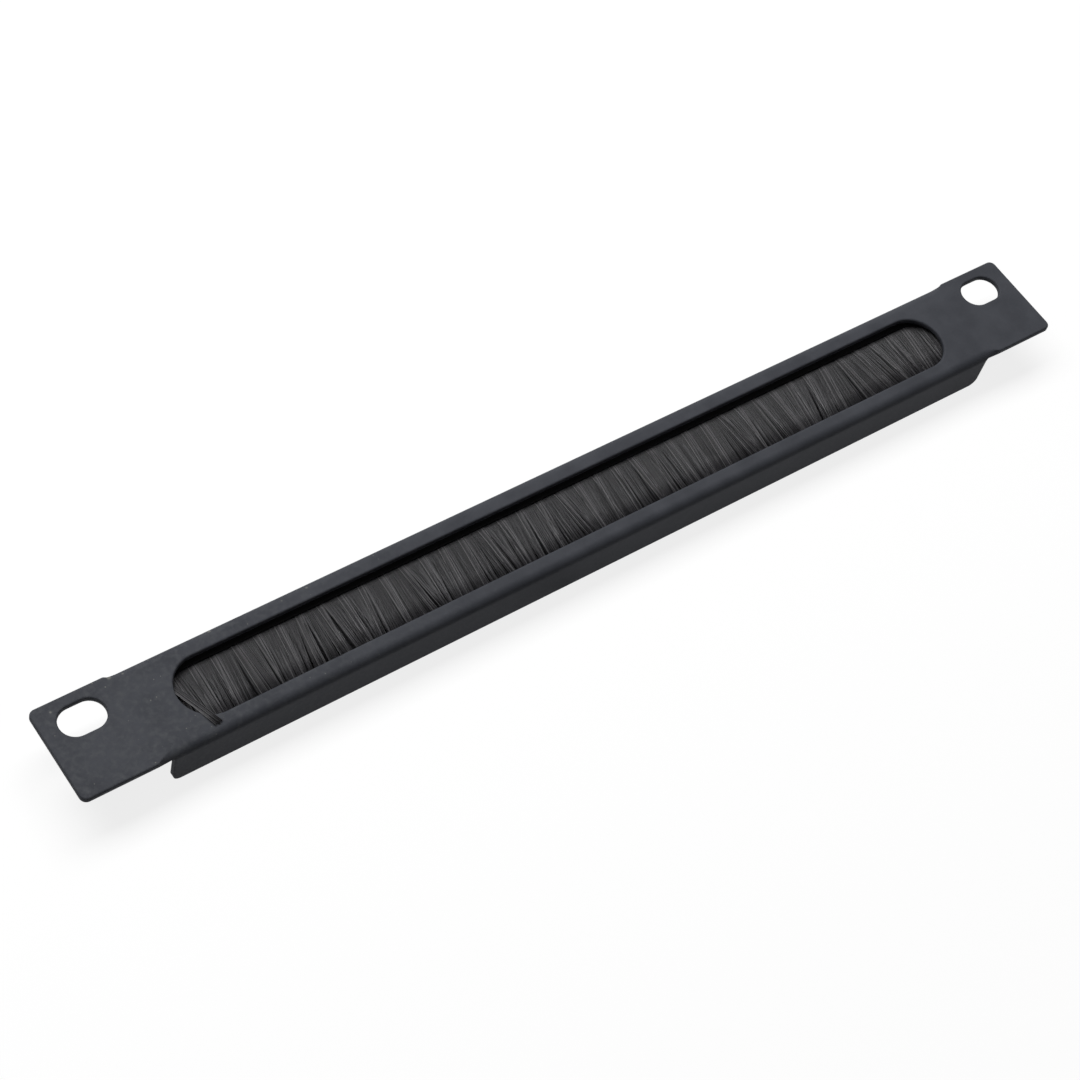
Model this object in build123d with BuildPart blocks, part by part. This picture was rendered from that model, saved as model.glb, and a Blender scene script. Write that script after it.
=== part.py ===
from build123d import *
import os

# A ten inch rack panel, half a rack unit high, that closes a gap with a brush for leads to pass through.
# It lies face up: X runs along the panel, Y towards the edge with the slots, Z out of the front face.
# The origin is under the middle of the panel, on the plane that the edges of the flanges rest on.

# Folded sheet steel panel
panel_length = 254.0
panel_height = 22.0
panel_depth = 10.2
sheet = 1.2
bend_inside_radius = 0.7
ear_length = 20.0
ear_corner_radius = 1.5
flange_corner_radius = 2.0
notch_radius = 0.8
runout_length = 3.0
edge_radius = 0.35

# Window that the brush shows in: the face left beside it, past its ends and above and below it
window_end_margin = 6.8
rim_width = 4.0

# One slotted hole in each ear, near the upper edge
slot_end_distance = 8.75
slot_edge_distance = 5.95
slot_length = 10.0
slot_width = 7.0

# Crimped channel that holds the brush, bonded to the inside of the upper flange
holder_end_inset = 2.5
holder_height = 3.2
holder_wall = 0.4
holder_inside_radius = 0.2
holder_face_gap = 0.4
tape_thickness = 0.4

# Core wire that the filaments are folded over
wire_radius = 0.5
wire_end_inset = 0.5
fit = 0.05

# Bristles: locks of filaments, each folded once over the wire
lock_count = 42
front_strands = 5
back_strands = 3
strand_gap = 0.08
leg_gap = 0.08
layer_thickness = 0.36
layer_gap = 0.06
tip_rise = 0.35
tip_clearance = 1.2
length_spread = 0.5

# Stray strand of the first lock, which comes out of the window and lies on the lower rim
stray_width = 1.3
stray_thickness = 0.5
stray_depth = 1.5
stray_end_inset = 1.0
stray_drift = 3.0
stray_overlap = 2.0

# Shares of the free length that a lock's tip leans along X, chosen by hand along the brush
lean_shares = (
    0.10, 0.02, -0.03, -0.16, 0.03, -0.10, -0.22, -0.12, 0.01, -0.05, -0.14, -0.06, 0.02, -0.10,
    -0.17, -0.07, -0.02, -0.12, -0.18, -0.08, 0.01, -0.10, -0.15, -0.04, -0.12, -0.02, -0.09, -0.18,
    -0.07, 0.02, -0.10, -0.01, -0.09, -0.17, -0.29, -0.20, 0.04, 0.12, 0.02, -0.08, -0.17, -0.08,
)
# Share of a lock's width that its strands close up to at the tip, in front and behind
front_closing_share = 0.82
back_closing_share = 0.98
# Share of the front strands' lean that the back strands have, which keeps the row closed
back_lean_share = 0.15
# Where the stray strand lies deepest in the window, and where it has climbed over the edge of the window
stray_deep_share = 0.30
stray_over_share = 0.66

half_length = panel_length / 2
half_height = panel_height / 2
folded_length = panel_length - 2 * ear_length
half_folded = folded_length / 2
bend_end = half_folded + notch_radius
runout_end = bend_end + runout_length
bend_outside_radius = bend_inside_radius + sheet
front_face = panel_depth
sheet_back = front_face - sheet
flange_inside = half_height - sheet
window_length = folded_length - 2 * window_end_margin
window_height = panel_height - 2 * rim_width
slot_x = half_length - slot_end_distance
slot_y = half_height - slot_edge_distance

leg_thickness = 2 * layer_thickness + layer_gap
fold_radius = wire_radius + fit + leg_thickness
holder_length = folded_length - 2 * holder_end_inset
holder_width = 2 * (fold_radius + fit + holder_wall)
holder_outside_radius = holder_inside_radius + holder_wall
holder_back = flange_inside - tape_thickness
holder_mouth = holder_back - holder_height
holder_centre_z = sheet_back - holder_face_gap - holder_width / 2
mouth_half_gap = leg_gap / 2 + leg_thickness + fit
tape_width = holder_width - 2 * holder_outside_radius
wire_y = holder_back - holder_wall - fit - fold_radius
lock_pitch = holder_length / lock_count
bristle_length = holder_mouth + flange_inside - tip_clearance


def folded_panel():
    """The sheet panel: cut flat, then folded along both long edges between the ears."""
    with BuildPart() as panel:
        # Section of the fold, run a notch radius past each flange so that the notches can be rounded.
        with BuildSketch(Plane.YZ):
            with BuildLine():
                outside = FilletPolyline(
                    (-half_height, 0),
                    (-half_height, front_face),
                    (half_height, front_face),
                    (half_height, 0),
                    radius=bend_outside_radius,
                )
                inside = FilletPolyline(
                    (-flange_inside, 0),
                    (-flange_inside, sheet_back),
                    (flange_inside, sheet_back),
                    (flange_inside, 0),
                    radius=bend_inside_radius,
                )
                Line(outside @ 0, inside @ 0)
                Line(outside @ 1, inside @ 1)
            make_face()
        extrude(amount=bend_end, both=True)

        # What the side outline leaves out: the flanges have rounded corners, and a small radius at each ear.
        with BuildSketch(Plane.XZ.offset(-half_height)):
            with BuildLine():
                lower = FilletPolyline(
                    (-half_length, sheet_back),
                    (-half_folded, sheet_back),
                    (-half_folded, 0),
                    (half_folded, 0),
                    (half_folded, sheet_back),
                    (half_length, sheet_back),
                    radius=(notch_radius, flange_corner_radius, flange_corner_radius, notch_radius),
                )
                Polyline(lower @ 1, (half_length, -sheet), (-half_length, -sheet), lower @ 0)
            make_face()
        extrude(amount=panel_height, mode=Mode.SUBTRACT)

        # Flat ears
        with BuildSketch(Plane.XY.offset(sheet_back)) as ears:
            Rectangle(panel_length, panel_height)
            fillet(ears.vertices(), ear_corner_radius)
            Rectangle(2 * runout_end, panel_height, mode=Mode.SUBTRACT)
        extrude(amount=sheet)

        # Where each bend runs out into an ear, its round edge is drawn out to the ear's square one.
        for end in (1, -1):
            with BuildSketch(Plane.YZ.offset(end * bend_end)) as round_edged:
                with Locations((0, front_face)):
                    Rectangle(panel_height, panel_depth, align=(Align.CENTER, Align.MAX))
                fillet(round_edged.vertices().group_by(Axis.Y)[-1], bend_outside_radius)
                with Locations((0, sheet_back)):
                    Rectangle(panel_height, panel_depth, align=(Align.CENTER, Align.MAX), mode=Mode.SUBTRACT)
            with BuildSketch(Plane.YZ.offset(end * runout_end)):
                with Locations((0, front_face)):
                    Rectangle(panel_height, sheet, align=(Align.CENTER, Align.MAX))
            loft(ruled=True)

        # Window and slots, punched through the face
        with BuildSketch(Plane.XY.offset(front_face)):
            SlotOverall(window_length, window_height)
            with Locations((-slot_x, slot_y), (slot_x, slot_y)):
                SlotOverall(slot_length, slot_width)
        extrude(amount=2 * sheet, both=True, mode=Mode.SUBTRACT)

        # The punch and the coat round the front edges of the window, the slots and the ears.
        front_edges = ShapeList()
        for face in panel.faces().filter_by(Axis.Z).group_by(Axis.Z)[-1]:
            for wire in face.inner_wires():
                front_edges.extend(wire.edges())
            for edge in face.outer_wire().edges():
                if abs(edge.center().X) > runout_end + edge_radius:
                    front_edges.append(edge)
        fillet(front_edges, edge_radius)
    panel.part.label = "folded_panel"
    return panel


def brush_holder():
    """The U channel: its mouth faces the lower rim and is crimped onto the filaments."""
    half_width = holder_width / 2
    lip = mouth_half_gap + holder_wall
    with BuildPart() as holder:
        with BuildSketch(Plane.YZ):
            with BuildLine():
                FilletPolyline(
                    (holder_mouth, holder_centre_z - lip),
                    (wire_y, holder_centre_z - half_width),
                    (holder_back, holder_centre_z - half_width),
                    (holder_back, holder_centre_z + half_width),
                    (wire_y, holder_centre_z + half_width),
                    (holder_mouth, holder_centre_z + lip),
                    radius=holder_outside_radius,
                )
                offset(amount=holder_wall, side=Side.LEFT)
            make_face()
        extrude(amount=holder_length / 2, both=True)
    holder.part.label = "brush_holder"
    return holder


def core_wire():
    """The straight wire inside the channel."""
    with BuildPart() as wire:
        with BuildSketch(Plane.YZ):
            with Locations((wire_y, holder_centre_z)):
                Circle(wire_radius)
        extrude(amount=holder_length / 2 - wire_end_inset, both=True)
    wire.part.label = "core_wire"
    return wire


def bonding_tape():
    """The adhesive strip between the back of the channel and the upper flange."""
    with BuildPart() as tape:
        with BuildSketch(Plane.XZ.offset(-holder_back)):
            with Locations((0, holder_centre_z)):
                Rectangle(holder_length, tape_width)
        extrude(amount=-tape_thickness)
    tape.part.label = "bonding_tape"
    return tape


def strand_stations(number, strand, strands, side):
    """Sections of one strand from the channel to its tip: x, y, z, width and thickness of each."""
    middle = (number + 0.5) * lock_pitch - holder_length / 2
    offset_x = (strand - (strands - 1) / 2) * lock_pitch / strands
    root_x = middle + offset_x
    width = lock_pitch / strands - strand_gap
    # Neighbouring locks lie in two layers, so that they can cross where they lean together.
    layer = (number + (side > 0)) % 2
    layer_z = (leg_gap + layer_thickness) / 2 + layer * (layer_thickness + layer_gap)
    stations = [(root_x, holder_mouth, holder_centre_z + side * layer_z, width, layer_thickness)]
    if number == 0 and side > 0 and strand == strands - 1:
        length = holder_mouth + window_height / 2 + stray_overlap
        over_z = front_face + fit + stray_thickness / 2
        deep_z = front_face - stray_depth
        for share, z in ((stray_deep_share, deep_z), (stray_over_share, over_z), (1, over_z)):
            drift = stray_drift * (share - stray_deep_share) / (1 - stray_deep_share)
            x = stray_end_inset + drift - window_length / 2
            stations.append((x, holder_mouth - share * length, z, stray_width, stray_thickness))
        return stations
    length = bristle_length - length_spread * ((strand * 2 + number) % 3) / 2
    lean = lean_shares[number % len(lean_shares)] * bristle_length
    closing = front_closing_share
    if side < 0:
        lean *= back_lean_share
        closing = back_closing_share
    tip_x = middle + offset_x * closing + lean
    tip_z = holder_centre_z + side * (layer_z + tip_rise)
    stations.append((tip_x, holder_mouth - length, tip_z, width * closing, layer_thickness))
    return stations


def bristle_lock(number):
    """One lock of filaments: packed solid round the wire in the channel, in strands outside it."""
    left = number * lock_pitch - holder_length / 2 + strand_gap / 2
    with BuildPart() as lock:
        with BuildSketch(Plane.YZ.offset(left)):
            with Locations((wire_y, holder_centre_z)):
                Circle(fold_radius)
                Circle(wire_radius + fit, mode=Mode.SUBTRACT)
                Rectangle(fold_radius, 2 * fold_radius, align=(Align.MAX, Align.CENTER), mode=Mode.SUBTRACT)
            for side in (1, -1):
                with BuildLine():
                    Polyline(
                        (wire_y, holder_centre_z + side * (wire_radius + fit)),
                        (wire_y, holder_centre_z + side * fold_radius),
                        (holder_mouth, holder_centre_z + side * (leg_gap / 2 + leg_thickness)),
                        (holder_mouth, holder_centre_z + side * leg_gap / 2),
                        close=True,
                    )
                make_face()
        extrude(amount=lock_pitch - strand_gap)
        free_strands = []
        for side, strands in ((1, front_strands), (-1, back_strands)):
            for strand in range(strands):
                for x, y, z, width, thickness in strand_stations(number, strand, strands, side):
                    with BuildSketch(Plane.XZ.offset(-y)):
                        with Locations((x, z)):
                            Rectangle(width, thickness)
                free_strands.append(loft(ruled=True, mode=Mode.PRIVATE))
        add(free_strands)
    lock.part.label = f"bristle_lock_{number + 1:02d}"
    return lock


os.makedirs("parts", exist_ok=True)
pieces = [folded_panel(), brush_holder(), core_wire(), bonding_tape()]
for number in range(lock_count):
    pieces.append(bristle_lock(number))
for piece in pieces:
    export_step(piece.part, f"parts/{piece.part.label}.step")
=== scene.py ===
import math
import random

import bpy
from mathutils import Matrix, Vector


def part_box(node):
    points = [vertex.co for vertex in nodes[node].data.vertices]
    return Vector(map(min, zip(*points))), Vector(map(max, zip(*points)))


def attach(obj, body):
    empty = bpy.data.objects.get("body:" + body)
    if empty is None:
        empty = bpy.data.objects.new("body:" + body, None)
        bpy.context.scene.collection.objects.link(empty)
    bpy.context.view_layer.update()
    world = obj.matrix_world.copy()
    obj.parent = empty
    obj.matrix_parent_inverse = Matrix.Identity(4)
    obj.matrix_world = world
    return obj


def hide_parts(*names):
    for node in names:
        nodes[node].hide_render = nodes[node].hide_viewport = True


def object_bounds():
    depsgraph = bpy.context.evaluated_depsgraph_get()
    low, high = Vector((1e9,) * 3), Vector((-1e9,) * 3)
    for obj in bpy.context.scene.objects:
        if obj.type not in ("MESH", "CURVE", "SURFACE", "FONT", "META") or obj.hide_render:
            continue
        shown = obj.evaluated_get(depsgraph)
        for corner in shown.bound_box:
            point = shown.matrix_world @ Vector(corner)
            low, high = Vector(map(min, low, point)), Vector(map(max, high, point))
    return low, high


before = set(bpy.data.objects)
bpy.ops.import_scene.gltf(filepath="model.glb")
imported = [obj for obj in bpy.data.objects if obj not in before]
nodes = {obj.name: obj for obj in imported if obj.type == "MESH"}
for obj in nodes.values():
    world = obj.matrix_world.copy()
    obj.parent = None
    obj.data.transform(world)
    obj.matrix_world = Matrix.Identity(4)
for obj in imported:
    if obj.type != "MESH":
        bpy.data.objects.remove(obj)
cad_low, cad_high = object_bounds()


# Folded panel
# One sheet of 1.2 mm steel, punched and folded along both long edges between two flat ears.
# It is powder coated black, and bolted to the rack through its ears.

MM = 0.001


def linear(hex_colour):
    """An sRGB colour written as hex, as the linear colour that a shader takes."""
    channels = [int(hex_colour[i:i + 2], 16) / 255 for i in (1, 3, 5)]
    return [c / 12.92 if c <= 0.04045 else ((c + 0.055) / 1.055) ** 2.4 for c in channels] + [1]


def add_node(tree, kind, settings=None, links=None):
    """Adds one node: settings go to its properties or unlinked inputs, links to its inputs."""
    node = tree.nodes.new(kind)
    for name, value in (settings or {}).items():
        if isinstance(name, int) or name in node.inputs:
            node.inputs[name].default_value = value
        else:
            setattr(node, name, value)
    for name, output in (links or {}).items():
        tree.links.new(output, node.inputs[name])
    return node


def new_material(name):
    """An empty node material and its tree."""
    material = bpy.data.materials.new(name)
    material.use_nodes = True
    material.node_tree.nodes.clear()
    return material, material.node_tree


def dress(node, material):
    """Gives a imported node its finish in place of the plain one."""
    materials = nodes[node].data.materials
    materials.clear()
    materials.append(material)


# Polyester powder coat, sprayed dry and baked to a skin over the steel. It gives a matt, slightly
# blue black. Its real grain is about 0.1 mm, and is drawn five times as coarse so that it shows.
# It builds up into a soft roll along each punched edge. Towards the left end it is blotchy and has
# small pale specks, which are larger on the crest of the upper bend than on the face.
coat_dark = "#35373d"
coat_pale = "#3e4046"
coat_blotch = "#45474b"
coat_speck = "#6c6c68"
coat_grain = 0.5 * MM
coat_grain_height = 0.03 * MM
coat_roll = 0.55 * MM
coat_mottle = 7.0 * MM
coat_blotch_size = 1.3 * MM
coat_speck_spacing = 1.5 * MM
coat_speck_on_face = 0.14
coat_speck_on_crest = 0.44
coat_unspecked_share = 0.45
smooth_from = -20 * MM
left_end_full_at = -100 * MM
crest_from = 8.5 * MM
crest_to = 9.7 * MM
speckless_below = 6.5 * MM
speckled_above = 8.5 * MM

powder_coat, tree = new_material("matt_black_powder_coat")
place = add_node(tree, "ShaderNodeTexCoord").outputs["Object"]
split_place = add_node(tree, "ShaderNodeSeparateXYZ", links={"Vector": place})
left_end_share = add_node(tree, "ShaderNodeMapRange", {"From Min": smooth_from, "From Max": left_end_full_at},
                {"Value": split_place.outputs["X"]})
crest = add_node(tree, "ShaderNodeMapRange",
                 {"From Min": crest_from, "From Max": crest_to,
                  "To Min": coat_speck_on_face, "To Max": coat_speck_on_crest},
                 {"Value": split_place.outputs["Y"]})
mottle = add_node(tree, "ShaderNodeTexNoise", {"Scale": 1 / coat_mottle, "Detail": 3.0}, {"Vector": place})
cloud = add_node(tree, "ShaderNodeMapRange", {"From Min": 0.35, "From Max": 0.65},
                 {"Value": mottle.outputs["Fac"]})
body = add_node(tree, "ShaderNodeMix", {"data_type": "RGBA", 6: linear(coat_dark), 7: linear(coat_pale)},
                {"Factor": cloud.outputs["Result"]})
spots = add_node(tree, "ShaderNodeTexNoise",
                 {"Scale": 1 / coat_blotch_size, "Detail": 2.5, "Distortion": 0.2}, {"Vector": place})
patch = add_node(tree, "ShaderNodeMapRange", {"From Min": 0.45, "From Max": 0.75},
                 {"Value": spots.outputs["Fac"]})
patch_here = add_node(tree, "ShaderNodeMath", {"operation": "MULTIPLY"},
                      {0: patch.outputs["Result"], 1: left_end_share.outputs["Result"]})
blotchy = add_node(tree, "ShaderNodeMix", {"data_type": "RGBA", 7: linear(coat_blotch)},
                   {"Factor": patch_here.outputs["Value"], 6: body.outputs[2]})
cells = add_node(tree, "ShaderNodeTexVoronoi", {"Scale": 1 / coat_speck_spacing}, {"Vector": place})
chance = add_node(tree, "ShaderNodeSeparateColor", links={"Color": cells.outputs["Color"]})
picked = add_node(tree, "ShaderNodeMapRange", {"From Min": coat_unspecked_share, "From Max": 1.0},
                  {"Value": chance.outputs["Red"]})
reach = add_node(tree, "ShaderNodeMath", {"operation": "MULTIPLY"},
                 {0: picked.outputs["Result"], 1: crest.outputs["Result"]})
speck = add_node(tree, "ShaderNodeMapRange", {"From Min": 0.0, "To Min": 2.0, "To Max": 0.0},
                 {"Value": cells.outputs["Distance"], "From Max": reach.outputs["Value"]})
face_side = add_node(tree, "ShaderNodeMapRange", {"From Min": speckless_below, "From Max": speckled_above},
                     {"Value": split_place.outputs["Z"]})
speck_here = add_node(tree, "ShaderNodeMath", {"operation": "MULTIPLY"},
                      {0: face_side.outputs["Result"], 1: left_end_share.outputs["Result"]})
faint = add_node(tree, "ShaderNodeMath", {"operation": "MULTIPLY"},
                 {0: speck.outputs["Result"], 1: speck_here.outputs["Value"]})
speckled = add_node(tree, "ShaderNodeMix", {"data_type": "RGBA", 7: linear(coat_speck)},
                    {"Factor": faint.outputs["Value"], 6: blotchy.outputs[2]})
grain = add_node(tree, "ShaderNodeTexNoise", {"Scale": 1 / coat_grain, "Detail": 3.0, "Roughness": 0.6},
                 {"Vector": place})
roll = add_node(tree, "ShaderNodeBevel", {"samples": 8, "Radius": coat_roll})
bump = add_node(tree, "ShaderNodeBump", {"Strength": 0.6, "Distance": coat_grain_height},
                {"Height": grain.outputs["Fac"], "Normal": roll.outputs["Normal"]})
gloss = add_node(tree, "ShaderNodeMapRange", {"To Min": 0.62, "To Max": 0.82},
                 {"Value": grain.outputs["Fac"]})
shader = add_node(tree, "ShaderNodeBsdfPrincipled", {"IOR": 1.5, "Specular IOR Level": 0.25},
                  {"Base Color": speckled.outputs[2], "Roughness": gloss.outputs["Result"],
                   "Normal": bump.outputs["Normal"]})
add_node(tree, "ShaderNodeOutputMaterial", links={"Surface": shader.outputs["BSDF"]})
dress("folded_panel", powder_coat)


# Bonding tape
# Double-sided tape between the back of the channel and the upper flange. It is a black acrylic foam,
# cut to width from a roll and pressed on.

# Closed-cell acrylic foam: dull and dark, with a fine cell pattern on its cut edges.
tape_colour = "#1c1c1d"
tape_cell = 0.25 * MM

foam, tree = new_material("black_acrylic_foam")
place = add_node(tree, "ShaderNodeTexCoord").outputs["Object"]
cells = add_node(tree, "ShaderNodeTexVoronoi", {"Scale": 1 / tape_cell}, {"Vector": place})
bump = add_node(tree, "ShaderNodeBump", {"Strength": 0.5, "Distance": tape_cell / 5},
                {"Height": cells.outputs["Distance"]})
shader = add_node(tree, "ShaderNodeBsdfPrincipled",
                  {"Base Color": linear(tape_colour), "Roughness": 0.9, "IOR": 1.48},
                  {"Normal": bump.outputs["Normal"]})
add_node(tree, "ShaderNodeOutputMaterial", links={"Surface": shader.outputs["BSDF"]})
dress("bonding_tape", foam)


# Brush holder
# A strip of thin steel rolled into a U, with its mouth crimped onto the filaments.
# It is taped to the inside of the upper flange, so only its front wall shows in the window.


def long_lines(tree, spacing, length):
    """The fine lines along a rolled or drawn piece, as a noise that is stretched along X."""
    place = add_node(tree, "ShaderNodeTexCoord").outputs["Object"]
    stretched = add_node(tree, "ShaderNodeMapping",
                         {"Scale": (1 / length, 1 / spacing, 1 / spacing)}, {"Vector": place})
    lines = add_node(tree, "ShaderNodeTexNoise", {"Scale": 1.0, "Detail": 2.0},
                     {"Vector": stretched.outputs["Vector"]})
    return lines.outputs["Fac"]


# Blackened rolled steel, with the faint long lines that the rolls leave in its gloss. Its colour is almost
# black, darker than the steel's own: painted shade for the hollow under the upper rim of the window.
holder_colour_with_painted_shade = "#070708"
roll_line = 0.3 * MM
roll_line_length = 12 * MM
roll_line_height = 0.01 * MM

blackened_and_painted_shade, tree = new_material("blackened_steel_with_painted_shade")
lines = long_lines(tree, roll_line, roll_line_length)
gloss = add_node(tree, "ShaderNodeMapRange", {"To Min": 0.45, "To Max": 0.7}, {"Value": lines})
bump = add_node(tree, "ShaderNodeBump", {"Strength": 0.3, "Distance": roll_line_height}, {"Height": lines})
shader = add_node(tree, "ShaderNodeBsdfPrincipled",
                  {"Base Color": linear(holder_colour_with_painted_shade), "IOR": 1.5, "Specular IOR Level": 0.15},
                  {"Roughness": gloss.outputs["Result"], "Normal": bump.outputs["Normal"]})
add_node(tree, "ShaderNodeOutputMaterial", links={"Surface": shader.outputs["BSDF"]})
dress("brush_holder", blackened_and_painted_shade)


# Core wire
# A straight steel wire inside the channel, which the filaments are folded over.
# Only its two cut ends show, in the open ends of the channel.

# Drawn galvanised steel: grey zinc, a little dull, with the fine lines of the die along it.
wire_colour = "#a9abad"
die_line = 0.08 * MM
die_line_length = 5 * MM

galvanised, tree = new_material("drawn_galvanised_steel")
lines = long_lines(tree, die_line, die_line_length)
gloss = add_node(tree, "ShaderNodeMapRange", {"To Min": 0.3, "To Max": 0.5}, {"Value": lines})
shader = add_node(tree, "ShaderNodeBsdfPrincipled", {"Base Color": linear(wire_colour), "Metallic": 1.0},
                  {"Roughness": gloss.outputs["Result"]})
add_node(tree, "ShaderNodeOutputMaterial", links={"Surface": shader.outputs["BSDF"]})
dress("core_wire", galvanised)


# Bristles
# Nylon filaments, drawn round and 0.2 mm thick. Each one is folded over the core wire, so it leaves
# the channel as a front leg and a back leg. The front legs stand in tufts and small clumps that close
# up towards their tips, and one bundle at the left end has come out over the lower rim.

# Drawn black nylon: dark grey with a soft sheen along each filament. Each filament is painted its own
# shade at random, as painted light and shade for how differently each takes the light, which gives the
# fine pale and dark lines.
filament_painted_light = {0.0: "#19191a", 0.12: "#2b2b2d", 0.5: "#333235", 0.88: "#414043", 1.0: "#666567"}

nylon, tree = new_material("drawn_black_nylon")
each = add_node(tree, "ShaderNodeNewGeometry").outputs["Random Per Island"]
shade = add_node(tree, "ShaderNodeValToRGB", links={"Fac": each})
ramp = shade.color_ramp.elements
for stop, (share, colour) in enumerate(filament_painted_light.items()):
    if stop >= len(ramp):
        ramp.new(share)
    ramp[stop].position = share
    ramp[stop].color = linear(colour)
shader = add_node(tree, "ShaderNodeBsdfPrincipled",
                  {"Roughness": 0.5, "IOR": 1.53, "Specular IOR Level": 0.35},
                  {"Base Color": shade.outputs["Color"]})
add_node(tree, "ShaderNodeOutputMaterial", links={"Surface": shader.outputs["BSDF"]})

# The brush fills the channel from end to end, and is centred on the wire.
lock_names = sorted(name for name in nodes if name.startswith("bristle_lock"))
holder_low, holder_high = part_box("brush_holder")
wire_low, wire_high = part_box("core_wire")
face_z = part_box("folded_panel")[1].z
lock_pitch = (holder_high.x - holder_low.x) / len(lock_names)
mouth_y = holder_low.y
wire_y = (wire_low.y + wire_high.y) / 2
brush_z = (wire_low.z + wire_high.z) / 2
wire_radius = (wire_high.z - wire_low.z) / 2

# How the filaments of a lock are laid over the wire
filament_radius = 0.1 * MM
layers = 4
columns = 24
layer_pitch = 0.195 * MM
column_pitch = lock_pitch / columns
wire_gap = 0.05 * MM
mouth_gap = 0.04 * MM
leg_rise = 0.35 * MM
leg_length = 14.6 * MM
length_spread = 0.6 * MM
fold_steps = 4

# How far a front leg has risen, at shares of its length
rise_along_leg = {0.1: 0.5, 0.3: 0.8, 0.62: 0.95, 1.0: 1.0}

# How the front legs stand: tufts, small clumps within them, and single loose legs across the top
first_seed = 100
tuft_columns = (6, 14)
tuft_lean = 0.025
tuft_lift = 0.12 * MM
tuft_bow = 0.05 * MM
tuft_closing = 0.97
clump_columns = (2, 5)
clump_lean = 0.02
clump_lift = 0.12 * MM
clump_closing = (0.45, 0.95)
layer_lean = 0.008
loose_share = 0.12
loose_lean = 0.05
loose_lift = 0.2 * MM
tip_scatter = 0.03 * MM
back_scatter = 0.004


def tube(points, radius, vertices, faces):
    """Adds a closed four-sided tube along the points, none of whose runs lies along X."""
    first = len(vertices)
    for index, point in enumerate(points):
        ahead = points[min(index + 1, len(points) - 1)]
        behind = points[max(index - 1, 0)]
        run = (ahead - behind).normalized()
        across = Vector((1, 0, 0))
        across = (across - run * across.dot(run)).normalized()
        out = run.cross(across)
        vertices.extend((point + across * radius, point + out * radius,
                         point - across * radius, point - out * radius))
    for ring in range(first, len(vertices) - 4, 4):
        for side in range(4):
            turn = (side + 1) % 4
            faces.append((ring + side, ring + turn, ring + 4 + turn, ring + 4 + side))
    last = len(vertices) - 4
    faces.append((first + 3, first + 2, first + 1, first))
    faces.append((last, last + 1, last + 2, last + 3))


def split(draw, sizes):
    """Splits a lock's columns into neighbouring runs of a random size: the middle of each column's run."""
    middles = []
    while len(middles) < columns:
        first = len(middles)
        last = min(first + draw.randint(*sizes), columns) - 1
        middles.extend([(first + last) / 2] * (last - first + 1))
    return middles


def traits(draw, middles, lean, lift, closing):
    """Draws the lean, lift, bow and closing of each run once, keyed by its middle."""
    return {middle: {"lean": draw.gauss(0, lean), "lift": draw.uniform(0, lift),
                     "bow": draw.gauss(0, tuft_bow), "closing": draw.uniform(*closing)}
            for middle in sorted(set(middles))}


def root_of(middle, column, layer, side):
    """Where a leg leaves the channel: each layer lies in the furrows of the one below."""
    furrow = 1 / 4 if layer % 2 else -1 / 4
    x = middle + (column - (columns - 1) / 2 + furrow) * column_pitch
    return Vector((x, mouth_y, brush_z + side * (mouth_gap + (layer + 0.5) * layer_pitch)))


def front_leg(root, lean, lift, bow, shift, length):
    """A front leg, from the channel's mouth to its tip: it rises soon after the mouth, then runs on."""
    points = [root]
    for share, risen in rise_along_leg.items():
        x = root.x + share * (lean * length + shift) + bow * math.sin(math.pi * share)
        points.append(Vector((x, root.y - share * length, root.z + risen * lift)))
    return points


def back_leg(root, lean, length):
    """A back leg, from the channel's mouth to its tip, nearly straight."""
    return [root, root + Vector((lean * length / 2, -length / 2, -leg_rise / 2)),
            root + Vector((lean * length, -length, -leg_rise))]


def fold(root_x, layer):
    """The bend over the core wire, from the front leg to the back leg."""
    radius = wire_radius + wire_gap + (layer + 0.5) * layer_pitch
    points = []
    for step in range(fold_steps + 1):
        turn = math.pi * step / fold_steps
        points.append(Vector((root_x, wire_y + radius * math.sin(turn), brush_z + radius * math.cos(turn))))
    return points


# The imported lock's vertices past this share of a leg's length are its tips.
tip_share = 0.9


def lean_of(name, middle, side):
    """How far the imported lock's legs on one side lean, as a share of their length."""
    ends = []
    for vertex in nodes[name].data.vertices:
        at_tip = vertex.co.y < mouth_y - tip_share * leg_length and vertex.co.z < face_z
        if at_tip and (vertex.co.z - brush_z) * side > 0:
            ends.append(vertex.co.x)
    return (sum(ends) / len(ends) - middle) / leg_length


def lean_along(leans, number, along):
    """The lean at a place along a lock: it passes evenly from lock to lock, so that the row stays closed."""
    beside = leans[min(max(number + (1 if along > 0 else -1), 0), len(leans) - 1)]
    return leans[number] + abs(along) * (beside - leans[number])


# The loose bundle: three strands of filaments, side by side in two layers
stray_columns = 7
stray_layers = 2
stray_strand = 3
stray_gap = 0.12 * MM
stray_spread = 0.1
stray_scatter = 0.03
stray_steps = 8


def stray_route(name):
    """The middles of the loose strand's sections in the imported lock, from the mouth to its blunt tip."""
    rest_top = brush_z + mouth_gap + layers * layer_pitch + 2 * leg_rise
    sections = {}
    for vertex in nodes[name].data.vertices:
        if vertex.co.z > rest_top and vertex.co.y < mouth_y - filament_radius:
            sections.setdefault(round(vertex.co.y / MM, 1), []).append(vertex.co)
    return [sum(ring, Vector()) / len(ring) for _, ring in sorted(sections.items(), reverse=True)]


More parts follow.
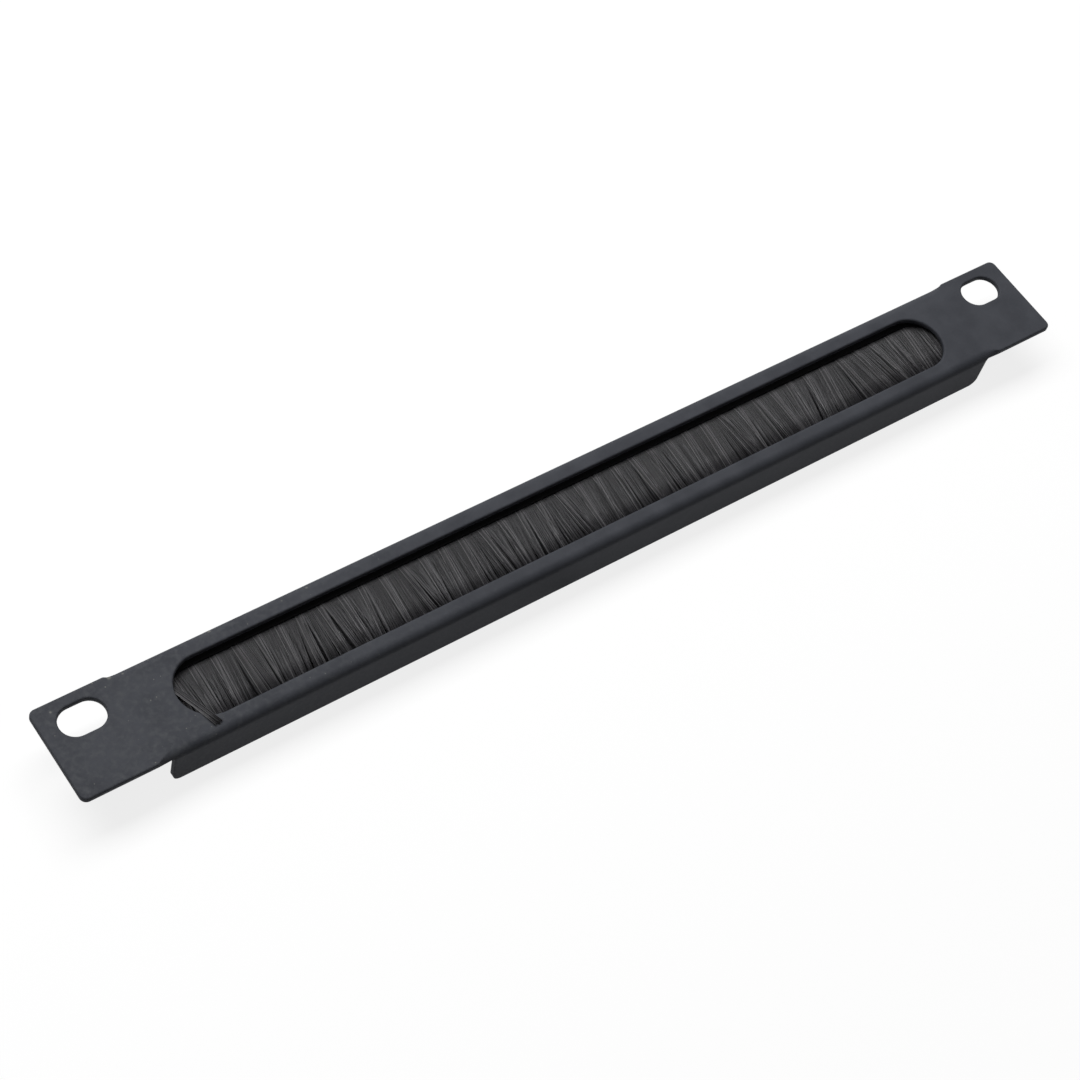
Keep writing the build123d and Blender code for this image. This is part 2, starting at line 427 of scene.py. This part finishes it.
def stray_bundle(name, middle, draw, vertices, faces):
    """The loose bundle of lock one: a flat lay of filaments, in strands, along a curve over the rim."""
    first = root_of(middle, columns - stray_columns / 2, layers, 1)
    knots = [first] + stray_route(name)
    for layer in range(stray_layers):
        for column in range(stray_columns):
            across = (column - (stray_columns - 1) / 2) * 2 * filament_radius
            apart = (column // stray_strand - 1) * stray_gap
            up = (layer - (stray_layers - 1) / 2) * 2 * filament_radius
            points = []
            for step in range(stray_steps + 1):
                share = step / stray_steps
                curve = knots
                while len(curve) > 1:
                    curve = [a.lerp(b, share) for a, b in zip(curve, curve[1:])]
                spread = 1 + stray_spread * share + draw.gauss(0, stray_scatter)
                points.append(curve[0] + Vector((across * spread + apart * share, 0, up)))
            points[-1].y += draw.uniform(0, length_spread)
            tube(points, filament_radius, vertices, faces)


scene = bpy.context.scene
middles = [holder_low.x + (number + 0.5) * lock_pitch for number in range(len(lock_names))]
front_leans = [lean_of(name, middle, 1) for name, middle in zip(lock_names, middles)]
back_leans = [lean_of(name, middle, -1) for name, middle in zip(lock_names, middles)]
for number, name in enumerate(lock_names):
    draw = random.Random(first_seed + number)
    middle = middles[number]
    tufts = split(draw, tuft_columns)
    tuft_traits = traits(draw, tufts, tuft_lean, tuft_lift, (tuft_closing, tuft_closing))
    clumps = split(draw, clump_columns)
    clump_traits = traits(draw, clumps, clump_lean, clump_lift, clump_closing)
    vertices = []
    faces = []
    for layer in range(layers):
        for column in range(columns):
            tuft = tuft_traits[tufts[column]]
            clump = clump_traits[clumps[column]]
            closed = tufts[column] + (clumps[column] - tufts[column]) * tuft["closing"]
            closed += (column - clumps[column]) * clump["closing"]
            shift = (closed - column) * column_pitch + draw.gauss(0, tip_scatter)
            root = root_of(middle, column, layer, 1)
            along = (column + 0.5) / columns - 0.5
            lean = lean_along(front_leans, number, along)
            lean += tuft["lean"] + clump["lean"] + draw.gauss(0, layer_lean)
            lift = leg_rise + tuft["lift"] + clump["lift"]
            if layer == layers - 1 and draw.random() < loose_share:
                lean += draw.gauss(0, loose_lean)
                lift += draw.random() * loose_lift
            path = front_leg(root, lean, lift, tuft["bow"], shift,
                             leg_length - draw.random() * length_spread)[::-1]
            path += fold(root.x, layer)
            back_lean = lean_along(back_leans, number, along) + draw.gauss(0, back_scatter)
            path += back_leg(root_of(middle, column, layer, -1), back_lean,
                             leg_length - draw.random() * length_spread)
            tube(path, filament_radius, vertices, faces)
    if number == 0:
        stray_bundle(name, middle, draw, vertices, faces)
    mesh = bpy.data.meshes.new(name + "_filaments")
    mesh.from_pydata([tuple(v) for v in vertices], [], faces)
    # The cut ends, whose corners are all in one ring, stay flat: the last run then keeps its light.
    mesh.polygons.foreach_set("use_smooth", [max(face) - min(face) > 3 for face in faces])
    mesh.materials.append(nylon)
    lock = bpy.data.objects.new(name + "_filaments", mesh)
    scene.collection.objects.link(lock)
    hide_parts(name)
    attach(lock, "root")


# Floor and light
# A pale matt sheet under the part, lit softly from above and behind, so that the front flange and
# the inside of the window fall into shade and a soft shadow lies in front of the part.


def rays_that_see(tree):
    """1 for a camera, glossy or transmission ray, which meets the white background, and 0 for the rest."""
    rays = add_node(tree, "ShaderNodeLightPath")
    seen = add_node(tree, "ShaderNodeMath", {"operation": "MAXIMUM"},
                    {0: rays.outputs["Is Camera Ray"], 1: rays.outputs["Is Glossy Ray"]})
    seen = add_node(tree, "ShaderNodeMath", {"operation": "MAXIMUM"},
                    {0: seen.outputs["Value"], 1: rays.outputs["Is Transmission Ray"]})
    return seen.outputs["Value"]


# Uncoated studio paper: pale, even and matt. It lights the part as plain grey paper does, and is
# lifted to white where it is seen, which leaves only the soft shadow near the part.
floor_size = 6.0
floor_colour = "#868686"
floor_seen_colour = "#797979"
floor_lift = 0.825

paper, tree = new_material("pale_paper")
matt = add_node(tree, "ShaderNodeBsdfDiffuse", {"Color": linear(floor_colour)})
shaded = add_node(tree, "ShaderNodeBsdfDiffuse", {"Color": linear(floor_seen_colour)})
glow = add_node(tree, "ShaderNodeEmission", {"Strength": floor_lift})
pale = add_node(tree, "ShaderNodeAddShader", links={0: shaded.outputs["BSDF"], 1: glow.outputs["Emission"]})
both = add_node(tree, "ShaderNodeMixShader",
                links={0: rays_that_see(tree), 1: matt.outputs["BSDF"], 2: pale.outputs["Shader"]})
add_node(tree, "ShaderNodeOutputMaterial", links={"Surface": both.outputs["Shader"]})

half = floor_size / 2
mesh = bpy.data.meshes.new("floor")
mesh.from_pydata([(-half, -half, cad_low.z), (half, -half, cad_low.z),
                  (half, half, cad_low.z), (-half, half, cad_low.z)], [], [(0, 1, 2, 3)])
mesh.materials.append(paper)
floor = bpy.data.objects.new("floor", mesh)
scene.collection.objects.link(floor)

# The room: a faint even light, and a white backdrop round the part that fades out overhead
sky_strength = 0.05
backdrop_top = 0.25
backdrop_fade = 0.2

world = bpy.data.worlds.new("studio")
scene.world = world
world.use_nodes = True
tree = world.node_tree
tree.nodes.clear()
way = add_node(tree, "ShaderNodeTexCoord").outputs["Generated"]
height = add_node(tree, "ShaderNodeSeparateXYZ", links={"Vector": way}).outputs["Z"]
backdrop = add_node(tree, "ShaderNodeMapRange",
                    {"From Min": backdrop_top, "From Max": backdrop_top + backdrop_fade,
                     "To Min": 1.0, "To Max": 0.0}, {"Value": height})
white = add_node(tree, "ShaderNodeMath", {"operation": "MULTIPLY"},
                 {0: rays_that_see(tree), 1: backdrop.outputs["Result"]})
strength = add_node(tree, "ShaderNodeMapRange", {"To Min": sky_strength, "To Max": 1.0},
                    {"Value": white.outputs["Value"]})
sky = add_node(tree, "ShaderNodeBackground", {"Color": linear("#ffffff")},
               {"Strength": strength.outputs["Result"]})
add_node(tree, "ShaderNodeOutputWorld", links={"Surface": sky.outputs["Background"]})

# One long softbox, aimed at the middle of the part
softbox_place = Vector((0.0, 0.478, 0.829))
softbox_width = 1.4
softbox_depth = 0.45
softbox_power = 12.8

softbox = bpy.data.lights.new("softbox_behind", "AREA")
softbox.shape = "RECTANGLE"
softbox.size = softbox_width
softbox.size_y = softbox_depth
softbox.energy = softbox_power
stand = bpy.data.objects.new("softbox_behind", softbox)
away = softbox_place.normalized()
side = Vector((1, 0, 0))
aim = Matrix((side, away.cross(side), away)).transposed()
stand.matrix_world = Matrix.Translation(softbox_place) @ aim.to_4x4()
scene.collection.objects.link(stand)


# Camera
# A long lens above the left end of the part, turned a little about its own axis. The turn is written
# as an axis whose length is the angle, for a camera with Y down that looks along Z.

lens_mm = 82.89
sensor_mm = 36.0
camera_place = Vector((-0.24683, -0.19689, 0.43202))
camera_turn = Vector((2.4908, -0.7073, 0.4673))
nearest_seen = 0.01

camera_data = bpy.data.cameras.new("camera")
camera_data.lens = lens_mm
camera_data.sensor_width = sensor_mm
camera_data.clip_start = nearest_seen
camera = bpy.data.objects.new("camera", camera_data)
rows = Matrix.Rotation(camera_turn.length, 3, camera_turn.normalized())
facing = Matrix((rows[0], -rows[1], -rows[2])).transposed()
camera.matrix_world = Matrix.Translation(camera_place) @ facing.to_4x4()
scene.collection.objects.link(camera)
scene.camera = camera
scene.view_settings.view_transform = "Standard"
